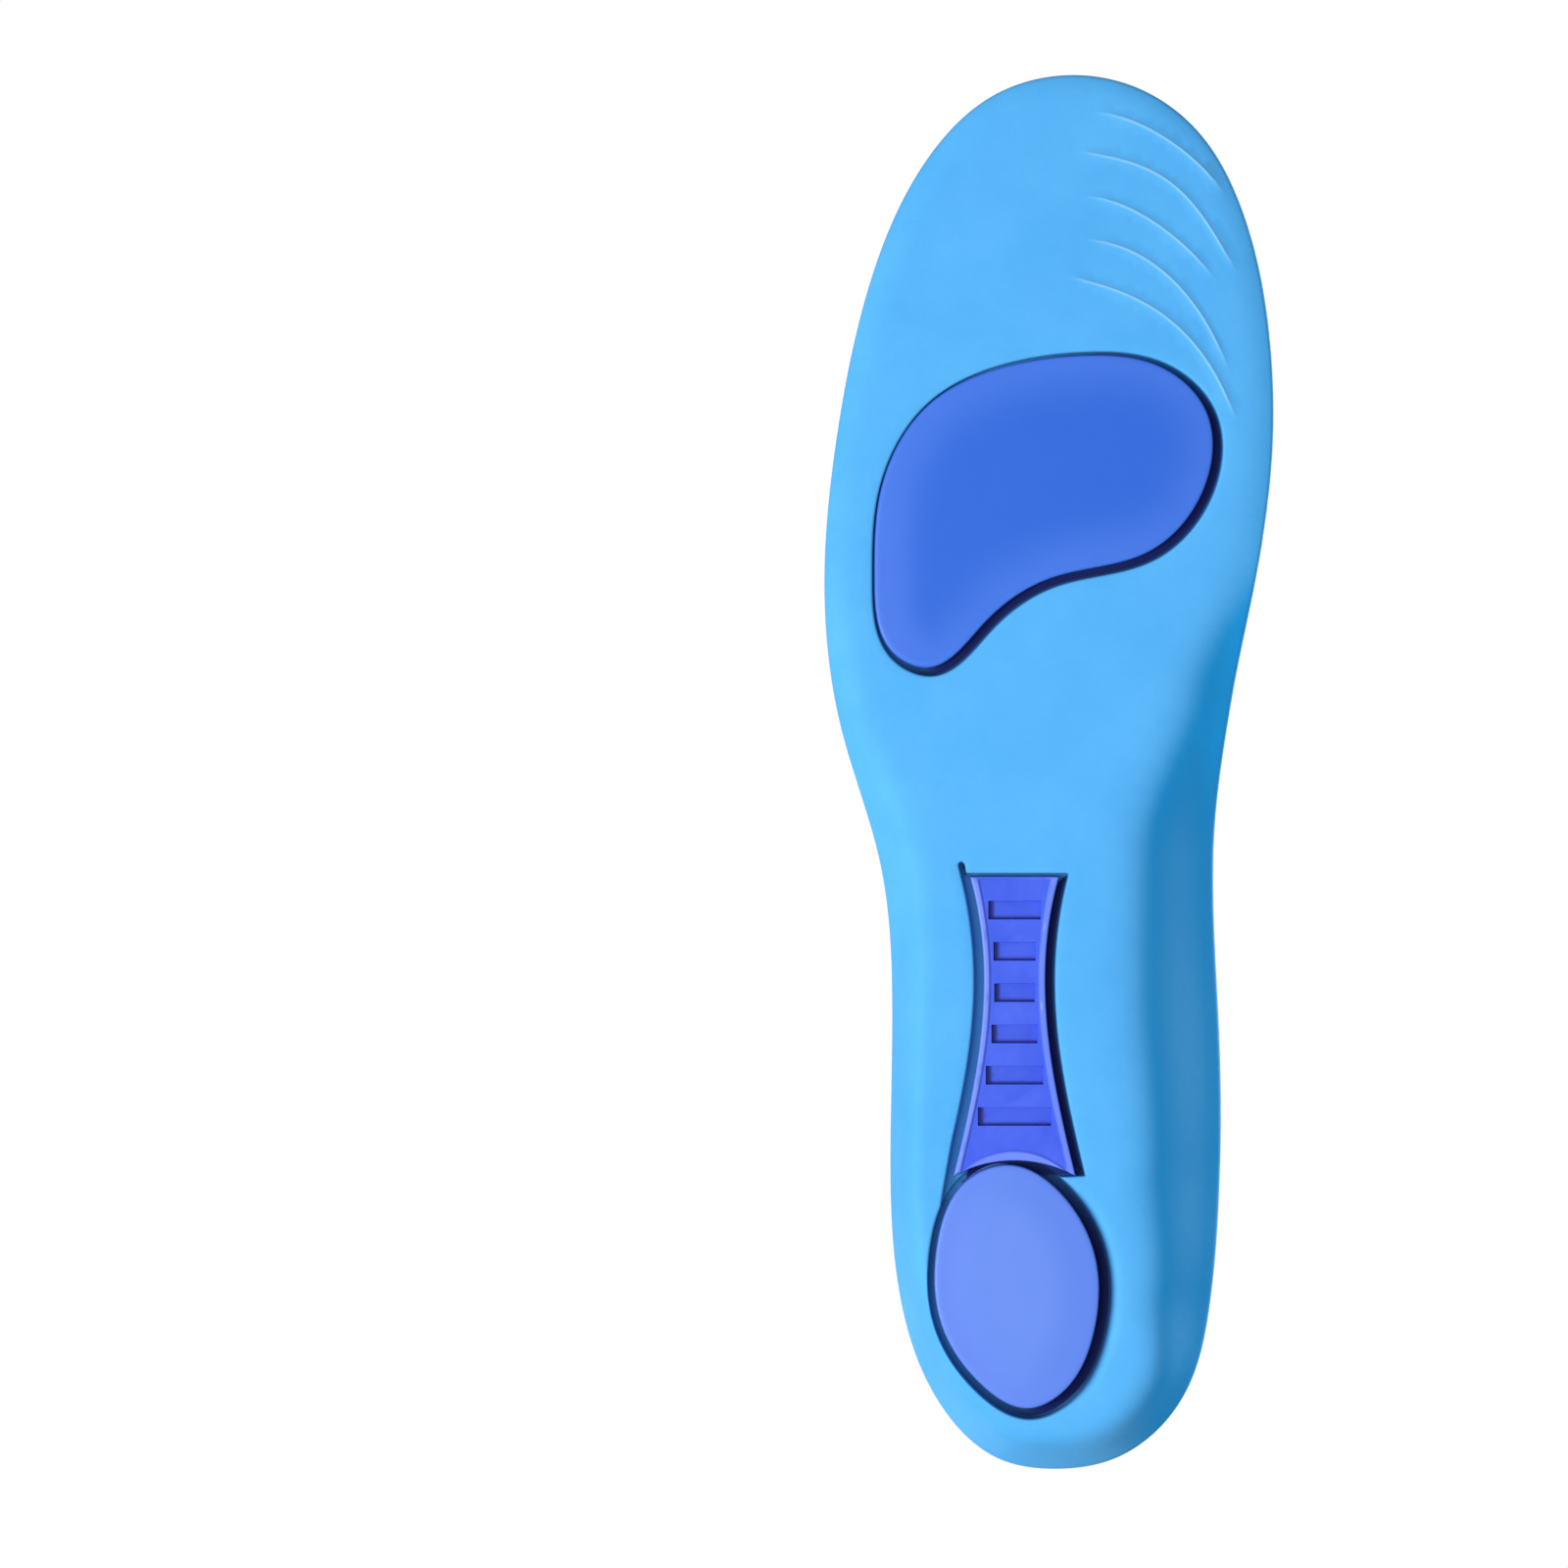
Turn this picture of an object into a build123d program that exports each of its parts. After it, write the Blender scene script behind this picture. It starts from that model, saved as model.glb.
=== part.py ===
from build123d import *
import math
import os

# Cushioned insole for a right foot, in millimetres.
# +Z is up, towards the foot; +Y points to the toe; -X is the inner (big toe) side.
# The origin is on the ground plane, under the middle of the insole.

# ---- driving dimensions -------------------------------------------------
FILM = 0.2  # hot-melt film between cover and foam
COVER = 1.8  # looped knit cover
ADHESIVE = 0.2  # bonding layer behind each inlay
FOREFOOT_PAD = 2.3  # thickness of the forefoot gel pad
HEEL_PAD = 4.0  # thickness of the heel gel pad
SHANK = 2.6  # thickness of the arch shank
FOREFOOT_GAP = 1.2  # moat round the forefoot pad
HEEL_GAP = 1.9  # moat round the heel pad
SHANK_GAP = 1.9  # groove along each side of the shank
SHANK_X = 6.7  # the shank's middle line
RAIL = 1.1  # width of the shank's raised rails
WEB_DEPTH = 0.4  # how far its web is sunk between the rails
SLOT_DEPTH = 1.6  # depth of the shank's slots
SLOT_WALL = 2.0  # width of plastic beside each slot
SLOT_HEIGHT = 3.6
SLOT_TOP = -26.1  # middle of the slot nearest the toe
SLOT_PITCH = 7.95
SLOT_COUNT = 6
LIP = 1.7  # raised arc lip at the shank's heel end
PAD_EDGE = 0.5  # rounding of the gel pads' lower edges
SKIN = 1.2  # the rolled underside starts this far below the ground plane and is cut flat there
HEADROOM = 60.0  # taller than the whole insole
SECTIONS = 41  # cross sections from heel to toe
ACROSS = 21  # points across each section
TIP_Y = 134.8  # the first and last section stand just inside the tips

# Outline seen from above, from the toe tip along the inner side, round the heel and back.
OUTLINE = [
    (-5.5, 134.9), (-17.6, 132.2), (-28.6, 124.2), (-37.3, 108.8), (-42.6, 84.2), (-43.1, 62.0), (-39.8, 36.9),
    (-35.0, 10.5), (-32.6, -19.0), (-33.8, -48.0), (-34.1, -72.0), (-32.2, -100.0), (-25.4, -122.7),
    (-12.9, -133.0), (-1.8, -134.9), (9.2, -133.0), (20.5, -122.7), (28.6, -101.0), (30.4, -72.0),
    (30.1, -44.0), (32.6, -16.5), (39.8, 8.0), (43.3, 36.9), (40.9, 65.3), (34.9, 93.6),
    (24.5, 117.2), (10.5, 131.1),
]

# Rim stations: (y, height of the underside at the rim, width over which it rolls up to it).
INNER_RIM = [
    (-135, 12.5, 12), (-120, 13.0, 14), (-100, 15.0, 21), (-75, 18.0, 25), (-45, 19.5, 27), (-15, 17.0, 26),
    (15, 8.0, 18), (45, 1.5, 9), (135, 1.0, 6),
]
OUTER_RIM = [
    (-135, 12.5, 12), (-110, 12.5, 8.5), (-80, 11.5, 6.5), (-50, 10.0, 7.5), (-20, 7.5, 10), (10, 3.5, 9),
    (40, 1.3, 7), (135, 1.0, 6),
]
# Floor stations: (y, thickness of the foam under the foot, thickness of its rim, extra width of the dished top).
FLOOR = [
    (-135, 8.0, 2.4, 9), (-60, 7.6, 2.2, 9), (-20, 6.6, 2.2, 9), (20, 5.2, 2.4, 5), (60, 4.4, 2.9, 2),
    (135, 4.0, 2.8, 2),
]

FOREFOOT_PAD_OUTLINE = [
    (-6.9, 80.8), (-21.9, 78.4), (-30.2, 70.2), (-30.4, 56.7), (-18.9, 42.8), (-2.0, 38.4), (12.4, 29.3),
    (23.8, 20.6), (29.6, 23.0), (33.7, 38.6), (32.3, 55.5), (22.9, 71.6), (8.2, 78.7),
]
HEEL_PAD_OUTLINE = [
    (7.8, -75.2), (-3.0, -81.5), (-9.2, -94.5), (-8.6, -107.5), (-3.0, -118.6), (3.9, -122.1), (13.4, -117.2),
    (20.9, -105.5), (21.6, -90.5), (16.2, -78.5),
]
# Half width of the shank along y.
SHANK_SIDE = [(8.55, -19.7), (6.35, -31.0), (5.95, -43.0), (7.4, -57.0), (11.75, -77.3)]
SHANK_ARCH = -74.3  # top of the shank's concave heel end
SHANK_LENGTH = 60.0
POCKET_POINTS = 24  # points on each pocket outline
TOE_GROOVE = 1.1  # groove across the shank's toe end
SHANK_PLANE = Plane((SHANK_X, 0, 0))

os.makedirs("parts", exist_ok=True)


def station(table, y, column):
    """The value of one column of a station table at y, eased between its rows."""
    for low, high in zip(table, table[1:]):
        if y <= high[0]:
            t = max(0.0, (y - low[0]) / (high[0] - low[0]))
            ease = t * t * (3 - 2 * t)
            return low[column] + (high[column] - low[column]) * ease
    return table[-1][column]


def roll(t):
    """The share of the rim height at t, from 1 at the rim (t = 0) to 0 where the roll ends (t = 1)."""
    if t >= 1:
        return 0.0
    return (1 - t) ** 3 * (1 + 2 * t)


with BuildSketch() as outline:
    with BuildLine():
        Spline(*OUTLINE, periodic=True)
    make_face()

EDGE_COUNT = 1200
EDGE = [tuple(outline.sketch.wires()[0].position_at(i / EDGE_COUNT))[:2] for i in range(EDGE_COUNT)]
TOE_TIP = max(EDGE, key=lambda p: p[1])
HEEL_TIP = min(EDGE, key=lambda p: p[1])


def is_inner(x, y):
    """Whether a point lies on the inner side of the line between the tips."""
    along = (y - HEEL_TIP[1]) / (TOE_TIP[1] - HEEL_TIP[1])
    return x < HEEL_TIP[0] + (TOE_TIP[0] - HEEL_TIP[0]) * along


INNER_EDGE = [p for p in EDGE if is_inner(*p)]
OUTER_EDGE = [p for p in EDGE if not is_inner(*p)]


def rim_at(x, y):
    """Distance inwards from the outline, the y of the nearest point of the rim, and its stations."""
    edge_x, edge_y = min(EDGE, key=lambda p: (p[0] - x) ** 2 + (p[1] - y) ** 2)
    rim = INNER_RIM if is_inner(edge_x, edge_y) else OUTER_RIM
    return math.hypot(edge_x - x, edge_y - y), edge_y, rim


def underside(y, depth, rim_y, rim):
    """Height of the foam's lower face."""
    lift = station(rim, rim_y, 1) + SKIN
    return lift * roll(depth / station(rim, rim_y, 2)) - SKIN


def foam_top(y, depth, rim_y, rim):
    """Height of the foam's upper face."""
    floor = station(FLOOR, y, 1)
    lift = station(rim, rim_y, 1) + station(FLOOR, rim_y, 2) - floor
    return floor + lift * roll(depth / (station(rim, rim_y, 2) + station(FLOOR, rim_y, 3)))


def cross_points(y, height, lift):
    """Points across the insole at y, closer together near the rims."""
    inner = min(INNER_EDGE, key=lambda p: abs(p[1] - y))[0]
    outer = min(OUTER_EDGE, key=lambda p: abs(p[1] - y))[0]
    middle, half = (inner + outer) / 2, (outer - inner) / 2
    across = [middle - half * math.cos(math.pi * i / (ACROSS - 1)) for i in range(ACROSS)]
    return [(x, height(y, *rim_at(x, y)) + lift) for x in across]


def layer(lower, lower_lift, upper, upper_lift):
    """The solid between two surfaces inside the outline, lofted through cross sections."""
    with BuildPart() as solid:
        for i in range(SECTIONS):
            y = TIP_Y * math.sin(math.pi * (i / (SECTIONS - 1) - 0.5))
            with BuildSketch(Plane((0, y, 0), x_dir=(1, 0, 0), z_dir=(0, -1, 0))):
                with BuildLine():
                    low = Spline(*cross_points(y, lower, lower_lift))
                    high = Spline(*cross_points(y, upper, upper_lift))
                    Line(low @ 0, high @ 0)
                    Line(low @ 1, high @ 1)
                make_face()
        loft()
    return solid


# ---- inlay outlines -----------------------------------------------------
with BuildSketch() as forefoot_shape:
    with BuildLine():
        Spline(*FOREFOOT_PAD_OUTLINE, periodic=True)
    make_face()

with BuildSketch() as heel_shape:
    with BuildLine():
        Spline(*HEEL_PAD_OUTLINE, periodic=True)
    make_face()


def shank_outline(rail, lip, toe=0.0):
    """The shank's outline, sides moved in by rail, concave end up by lip and toe end out by toe."""
    toe_end, *rest = SHANK_SIDE
    side = [(x - rail, y) for x, y in [(toe_end[0], toe_end[1] + toe), *rest]]
    with BuildSketch(SHANK_PLANE) as sketch:
        with BuildLine():
            outer = Spline(*side)
            inner = Spline(*[(-x, y) for x, y in side])
            Line(inner @ 0, outer @ 0)
            ThreePointArc(outer @ 1, (0, SHANK_ARCH + lip), inner @ 1)
        make_face()
    return sketch


shank_shape = shank_outline(0, 0)
shank_pocket = shank_outline(-SHANK_GAP, -2 * LIP, TOE_GROOVE)
shank_web = shank_outline(RAIL, LIP)
slot_bounds = shank_outline(SLOT_WALL, LIP)

with BuildSketch(SHANK_PLANE) as shank_slots:
    with Locations([(0, SLOT_TOP - i * SLOT_PITCH) for i in range(SLOT_COUNT)]):
        Rectangle(SHANK_LENGTH, SLOT_HEIGHT)
    add(slot_bounds.sketch_local, mode=Mode.INTERSECT)


def pocket_outline(shape, gap, shift_x, shift_y):
    """The shape grown by gap and shifted, as two open splines that meet smoothly."""
    with BuildSketch() as grown:
        add(shape.sketch)
        offset(amount=gap)
    wire = grown.sketch.wires()[0]
    points = [wire.position_at(i / POCKET_POINTS) for i in range(POCKET_POINTS)]
    half = POCKET_POINTS // 2
    start, turn = wire.tangent_at(0), wire.tangent_at(0.5)
    with BuildSketch(Plane((shift_x, shift_y, 0))) as pocket:
        with BuildLine():
            Spline(*points[: half + 1], tangents=(start, turn))
            Spline(*points[half:], points[0], tangents=(turn, start))
        make_face()
    return pocket


# Each pad's moat is wider on the inner side.
forefoot_pocket = pocket_outline(forefoot_shape, FOREFOOT_GAP, -0.6, -0.4)
heel_pocket = pocket_outline(heel_shape, HEEL_GAP, -0.6, -0.2)


# ---- foam footbed, film and cover ---------------------------------------
with BuildPart() as foam_footbed:
    add(layer(underside, 0, foam_top, 0).part)
    Box(2 * TIP_Y, 3 * TIP_Y, HEADROOM, align=(Align.CENTER, Align.CENTER, Align.MAX), mode=Mode.SUBTRACT)
    extrude(forefoot_pocket.sketch, amount=FOREFOOT_PAD + ADHESIVE, mode=Mode.SUBTRACT)
    extrude(heel_pocket.sketch, amount=HEEL_PAD + ADHESIVE, mode=Mode.SUBTRACT)
    extrude(shank_pocket.sketch, amount=SHANK + ADHESIVE, mode=Mode.SUBTRACT)

cover_adhesive_film = layer(foam_top, 0, foam_top, FILM)
top_cover = layer(foam_top, FILM, foam_top, FILM + COVER)

# ---- gel pads -----------------------------------------------------------
with BuildPart() as forefoot_gel_pad:
    extrude(forefoot_shape.sketch, amount=FOREFOOT_PAD)
    fillet(faces().sort_by(Axis.Z)[0].edges(), PAD_EDGE)

with BuildPart() as heel_gel_pad:
    extrude(heel_shape.sketch, amount=HEEL_PAD)
    fillet(faces().sort_by(Axis.Z)[0].edges(), PAD_EDGE)


# ---- arch shank ---------------------------------------------------------
with BuildPart() as arch_shank:
    extrude(shank_shape.sketch, amount=SHANK)
    extrude(shank_web.sketch, amount=WEB_DEPTH, mode=Mode.SUBTRACT)
    extrude(shank_slots.sketch, amount=SLOT_DEPTH, mode=Mode.SUBTRACT)


# ---- bonding layers -----------------------------------------------------
def bond(shape, height):
    """An adhesive layer with the inlay's outline, on top of it."""
    with BuildPart() as layer:
        with BuildSketch(Plane.XY.offset(height)):
            add(shape.sketch)
        extrude(amount=ADHESIVE)
    return layer


forefoot_pad_adhesive = bond(forefoot_shape, FOREFOOT_PAD)
heel_pad_adhesive = bond(heel_shape, HEEL_PAD)
shank_adhesive = bond(shank_shape, SHANK)

PIECES = {
    "top_cover": top_cover,
    "cover_adhesive_film": cover_adhesive_film,
    "foam_footbed": foam_footbed,
    "forefoot_gel_pad": forefoot_gel_pad,
    "forefoot_pad_adhesive": forefoot_pad_adhesive,
    "arch_shank": arch_shank,
    "shank_adhesive": shank_adhesive,
    "heel_gel_pad": heel_gel_pad,
    "heel_pad_adhesive": heel_pad_adhesive,
}
for name, piece in PIECES.items():
    piece.part.label = name
    export_step(piece.part, f"parts/{name}.step")
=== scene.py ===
"""Right-foot cushioned insole: foam footbed, gel pads, arch shank and looped knit cover."""
import math

import bmesh
import bpy
import numpy as np
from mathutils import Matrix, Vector, kdtree
from mathutils.geometry import delaunay_2d_cdt

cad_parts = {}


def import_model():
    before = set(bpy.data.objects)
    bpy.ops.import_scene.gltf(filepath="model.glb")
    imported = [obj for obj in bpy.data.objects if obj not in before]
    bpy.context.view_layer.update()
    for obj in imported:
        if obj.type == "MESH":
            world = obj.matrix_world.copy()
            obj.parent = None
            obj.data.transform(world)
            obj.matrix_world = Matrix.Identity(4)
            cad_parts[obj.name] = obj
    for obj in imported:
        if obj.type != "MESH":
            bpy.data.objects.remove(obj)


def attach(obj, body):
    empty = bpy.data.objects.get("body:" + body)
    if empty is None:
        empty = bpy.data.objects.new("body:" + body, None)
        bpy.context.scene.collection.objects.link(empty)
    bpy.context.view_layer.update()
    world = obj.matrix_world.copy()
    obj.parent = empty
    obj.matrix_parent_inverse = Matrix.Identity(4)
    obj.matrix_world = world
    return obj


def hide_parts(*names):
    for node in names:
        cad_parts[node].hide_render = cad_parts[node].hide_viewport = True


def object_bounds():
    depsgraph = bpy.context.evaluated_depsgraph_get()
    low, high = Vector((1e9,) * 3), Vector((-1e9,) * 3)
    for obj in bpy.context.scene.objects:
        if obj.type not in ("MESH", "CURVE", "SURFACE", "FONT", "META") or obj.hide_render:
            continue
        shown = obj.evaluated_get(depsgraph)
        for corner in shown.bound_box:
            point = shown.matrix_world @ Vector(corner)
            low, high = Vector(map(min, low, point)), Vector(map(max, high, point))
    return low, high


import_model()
CAD_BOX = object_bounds()

# ---- sizes in millimetres, as in the CAD model ---------------------------
MM = 0.001
FILM = 0.2  # hot-melt film between foam and cover
FOREFOOT_PAD = 2.3
HEEL_PAD = 4.0
SHANK = 2.6
ADHESIVE = 0.2
FOREFOOT_GAP, FOREFOOT_SHIFT = 1.15, (-0.75, -0.5)
HEEL_GAP, HEEL_SHIFT = 1.9, (-0.6, -0.2)
SHANK_GAP, TOE_GROOVE = 1.9, 0.7
SHANK_X = 6.7
RAIL, LIP, WEB_DEPTH = 1.1, 1.7, 0.4
SLOT_WALL, SLOT_DEPTH, SLOT_HEIGHT = 2.0, 1.6, 3.6
SLOT_TOP, SLOT_PITCH, SLOT_COUNT = -26.1, 7.95, 6
SKIN = 1.2  # the underside's wall starts this far below its flat part
SOFTNESS = 3.0  # and blends into it over this height

OUTLINE = [
    (-5.5, 134.9), (-17.6, 132.2), (-28.6, 124.2), (-37.3, 108.8), (-42.6, 84.2), (-43.1, 62.0),
    (-39.8, 36.9), (-35.0, 10.5), (-32.6, -19.0), (-33.8, -48.0), (-34.1, -72.0), (-32.2, -100.0),
    (-25.4, -122.7), (-12.9, -133.0), (-1.8, -134.9), (9.2, -133.0), (20.5, -122.7), (28.6, -101.0),
    (30.4, -72.0), (30.1, -44.0), (32.6, -16.5), (39.8, 8.0), (43.3, 36.9), (40.9, 65.3), (34.9, 93.6),
    (24.5, 117.2), (10.5, 131.1),
]
# Rim stations: (y, height of the underside at the rim, width over which it rolls up to it).
INNER_RIM = [
    (-135, 12.5, 12), (-120, 13.0, 14), (-100, 15.0, 21), (-75, 18.0, 25), (-45, 19.5, 27), (-15, 17.0, 26),
    (15, 8.0, 18), (45, 1.5, 9), (135, 1.0, 6),
]
OUTER_RIM = [
    (-135, 12.5, 12), (-110, 12.5, 8.5), (-80, 11.5, 6.5), (-50, 10.0, 7.5), (-20, 7.5, 10), (10, 3.5, 9),
    (40, 1.3, 7), (135, 1.0, 6),
]
# Floor stations: (y, thickness of the foam under the foot, thickness of its rim, how much wider than the
# underside's roll the dished top is).
FLOOR = [
    (-135, 8.0, 2.4, 9), (-60, 7.6, 2.2, 9), (-20, 6.6, 2.2, 9), (20, 5.2, 2.4, 5), (60, 4.4, 2.9, 2),
    (135, 4.0, 2.8, 2),
]
FOREFOOT_PAD_OUTLINE = [
    (-6.9, 80.8), (-21.9, 78.4), (-30.2, 70.2), (-30.4, 56.7), (-18.9, 42.8), (-2.0, 38.4), (12.4, 29.3),
    (23.8, 20.6), (29.6, 23.0), (33.7, 38.6), (32.3, 55.5), (22.9, 71.6), (8.2, 78.7),
]
HEEL_PAD_OUTLINE = [
    (7.8, -75.2), (-3.0, -81.5), (-9.2, -94.5), (-8.6, -107.5), (-3.0, -118.6), (3.9, -122.1), (13.4, -117.2),
    (20.9, -105.5), (21.6, -90.5), (16.2, -78.5),
]
SHANK_SIDE = [(8.55, -19.7), (6.35, -31.0), (5.95, -43.0), (7.4, -57.0), (11.75, -77.3)]
SHANK_ARCH = -74.3

# Raised lines moulded beside the big toe, from the middle of the toe to the inner side.
TOE_LINES = [
    [(-7.8, 127.5), (-18.9, 124.5), (-28.5, 117.8), (-34.0, 110.9)],
    [(-4.8, 120.0), (-18.9, 116.6), (-28.0, 109.4), (-36.1, 96.5)],
    [(-6.0, 111.2), (-16.5, 108.5), (-26.0, 101.8), (-32.2, 94.7)],
    [(-6.3, 103.0), (-17.7, 99.8), (-27.4, 91.1), (-34.6, 77.5)],
    [(-2.7, 96.0), (-15.9, 92.0), (-27.4, 83.5), (-36.1, 67.6)],
]
LINE_HALF_WIDTH = 0.6
LINE_HEIGHT = 0.35

CHUNK = 4000  # points measured at a time, to save memory

rng = np.random.default_rng(7)


# ---- plane geometry ------------------------------------------------------
def closed_curve(points, count):
    """Evenly spaced points on the smooth closed curve through the given points."""
    knots = np.array(points, float)
    ahead = np.roll(knots, -1, 0)
    step = np.linalg.norm(ahead - knots, axis=1)
    behind = np.roll(step, 1)
    n = len(knots)
    system = np.zeros((n, n))
    for i in range(n):
        system[i, i - 1] += behind[i]
        system[i, i] += 2 * (behind[i] + step[i])
        system[i, (i + 1) % n] += step[i]
    slope = (ahead - knots) / step[:, None]
    bend = np.linalg.solve(system, 6 * (slope - np.roll(slope, 1, 0)))
    bend_ahead = np.roll(bend, -1, 0)
    dense = []
    for i in range(n):
        h = step[i]
        t = np.linspace(0, h, 60, endpoint=False)[:, None]
        dense.append(
            bend[i] * (h - t) ** 3 / (6 * h)
            + bend_ahead[i] * t**3 / (6 * h)
            + (knots[i] / h - bend[i] * h / 6) * (h - t)
            + (ahead[i] / h - bend_ahead[i] * h / 6) * t
        )
    return even_points(np.vstack(dense + [knots[:1]]), count)


def even_points(line, count):
    """count points evenly spaced along a line; a closed line isn't given its last point twice."""
    run = np.r_[0, np.cumsum(np.linalg.norm(np.diff(line, axis=0), axis=1))]
    closed = np.allclose(line[0], line[-1])
    at = np.linspace(0, run[-1], count, endpoint=not closed)
    return np.c_[np.interp(at, run, line[:, 0]), np.interp(at, run, line[:, 1])]


def open_curve(points, count):
    """A smooth open curve through a few points."""
    t = np.linspace(0, 1, len(points))
    at = np.linspace(0, 1, count)
    degree = len(points) - 1
    return np.c_[[np.polyval(np.polyfit(t, [p[k] for p in points], degree), at) for k in (0, 1)]].T


def normals(loop):
    """Unit normals of a closed loop, pointing outwards."""
    along = np.roll(loop, -1, 0) - np.roll(loop, 1, 0)
    side = np.c_[along[:, 1], -along[:, 0]]
    side /= np.linalg.norm(side, axis=1)[:, None]
    ahead = np.roll(loop, -1, 0)
    area = np.sum(loop[:, 0] * ahead[:, 1] - loop[:, 1] * ahead[:, 0])
    return side * np.sign(area)


def grown(loop, gap, shift=(0, 0)):
    return loop + normals(loop) * gap + np.array(shift)


def shank_loop(rail=0.0, lip=0.0, toe=0.0):
    """The shank's outline, sides moved in by rail, concave end up by lip and toe end out by toe."""
    heights = np.array([y for _, y in SHANK_SIDE])
    heights[0] += toe
    widths = np.array([x - rail for x, _ in SHANK_SIDE])
    side_y = np.linspace(heights[0], heights[-1], 70)
    side_x = np.polyval(np.polyfit(heights, widths, len(heights) - 1), side_y)
    tip_x, tip_y, apex = widths[-1], heights[-1], SHANK_ARCH + lip
    sag = apex - tip_y
    radius = (tip_x**2 + sag**2) / (2 * sag)
    arc_x = np.linspace(tip_x, -tip_x, 40)[1:-1]
    arc_y = apex - radius + np.sign(radius) * np.sqrt(radius**2 - arc_x**2)
    top_x = np.linspace(-side_x[0], side_x[0], 24)[1:-1]
    loop = np.vstack([
        np.c_[side_x, side_y], np.c_[arc_x, arc_y], np.c_[-side_x, side_y][::-1],
        np.c_[top_x, np.full(len(top_x), heights[0])],
    ])
    return loop + np.array([SHANK_X, 0])


def box_loop(x0, x1, y0, y1, step=0.6):
    """A rectangle with points along its sides."""
    xs = np.linspace(x0, x1, max(2, round((x1 - x0) / step)))
    ys = np.linspace(y0, y1, max(2, round((y1 - y0) / step)))
    return np.vstack([
        np.c_[xs[:-1], np.full(len(xs) - 1, y0)], np.c_[np.full(len(ys) - 1, x1), ys[:-1]],
        np.c_[xs[:0:-1], np.full(len(xs) - 1, y1)], np.c_[np.full(len(ys) - 1, x0), ys[:0:-1]],
    ])


def signed_distance(points, loop):
    """Distance from each point to a closed loop, negative inside."""
    start, end = loop, np.roll(loop, -1, 0)
    run = end - start
    length2 = np.maximum((run**2).sum(1), 1e-12)
    result = np.empty(len(points))
    for low in range(0, len(points), CHUNK):
        p = points[low : low + CHUNK]
        away = p[:, None] - start[None]
        t = np.clip((away * run).sum(2) / length2, 0, 1)
        d = np.linalg.norm(away - t[..., None] * run, axis=2).min(1)
        crosses = (start[:, 1] > p[:, 1:2]) != (end[:, 1] > p[:, 1:2])
        rise = np.where(np.abs(run[:, 1]) < 1e-12, 1e-12, run[:, 1])
        side = away[..., 0] < run[:, 0] * away[..., 1] / rise
        inside = (crosses & side).sum(1) % 2 == 1
        result[low : low + CHUNK] = np.where(inside, -d, d)
    return result


def line_distance(points, line):
    """Distance from each point to an open line."""
    run = np.diff(line, axis=0)
    away = points[:, None] - line[None, :-1]
    t = np.clip((away * run).sum(2) / (run**2).sum(1), 0, 1)
    return np.linalg.norm(away - t[..., None] * run, axis=2).min(1)


def end_distance(points, line):
    """Distance from each point to the nearer end of a line."""
    return np.minimum(*(np.linalg.norm(points - line[i], axis=1) for i in (0, -1)))


def unit(vectors):
    return vectors / np.linalg.norm(vectors, axis=1)[:, None]


def smooth(t):
    t = np.clip(t, 0, 1)
    return t * t * (3 - 2 * t)


# ---- the insole's surfaces ------------------------------------------------
EDGE = closed_curve(OUTLINE, 620)
TOE_TIP = EDGE[EDGE[:, 1].argmax()]
HEEL_TIP = EDGE[EDGE[:, 1].argmin()]
ALONG = (EDGE[:, 1] - HEEL_TIP[1]) / (TOE_TIP[1] - HEEL_TIP[1])
IS_INNER = EDGE[:, 0] < HEEL_TIP[0] + (TOE_TIP[0] - HEEL_TIP[0]) * ALONG


def station(table, y, column):
    """One column of a station table at y, eased between its rows."""
    rows = np.array(table, float)
    y = np.clip(y, rows[0, 0], rows[-1, 0])
    i = np.clip(np.searchsorted(rows[:, 0], y) - 1, 0, len(rows) - 2)
    t = smooth((y - rows[i, 0]) / (rows[i + 1, 0] - rows[i, 0]))
    return rows[i, column] * (1 - t) + rows[i + 1, column] * t


def rim_station(y, inner, column):
    """One column of the inner or the outer rim's table at y."""
    return np.where(inner, station(INNER_RIM, y, column), station(OUTER_RIM, y, column))


KNOWN_RIMS = {}  # answers of rim_at by the points asked about


def rim_at(points):
    """For each point: distance in from the rim, the rim's y and whether it is the inner side's."""
    key = points.tobytes()
    if key in KNOWN_RIMS:
        return KNOWN_RIMS[key]
    near = np.empty(len(points), int)
    for low in range(0, len(points), CHUNK):
        p = points[low : low + CHUNK]
        near[low : low + CHUNK] = ((p[:, None] - EDGE[None]) ** 2).sum(2).argmin(1)
    depth = np.abs(signed_distance(points, EDGE[::2]))
    KNOWN_RIMS[key] = depth, EDGE[near, 1], IS_INNER[near]
    return KNOWN_RIMS[key]


def roll(t):
    t = np.clip(t, 0, 1)
    return (1 - t) ** 3 * (1 + 2 * t)


def underside(points):
    """Height of the foam's lower face before its edge is rounded and its pockets are sunk."""
    depth, y, inner = rim_at(points)
    lift = rim_station(y, inner, 1) + SKIN
    width = rim_station(y, inner, 2)
    height = lift * roll(depth / width) - SKIN
    blend = np.clip(1 - np.abs(height) / SOFTNESS, 0, 1)
    flat_part = SOFTNESS / 4 * (1 - SKIN / SOFTNESS) ** 2
    return np.maximum(height, 0) + SOFTNESS / 4 * blend**2 - flat_part


def foam_top(points):
    """Height of the foam's upper face."""
    depth, y, inner = rim_at(points)
    rim = rim_station(y, inner, 1)
    width = rim_station(y, inner, 2)
    floor = station(FLOOR, points[:, 1], 1)
    lift = rim + station(FLOOR, y, 2) - floor
    return floor + lift * roll(depth / (width + station(FLOOR, y, 3)))


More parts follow.
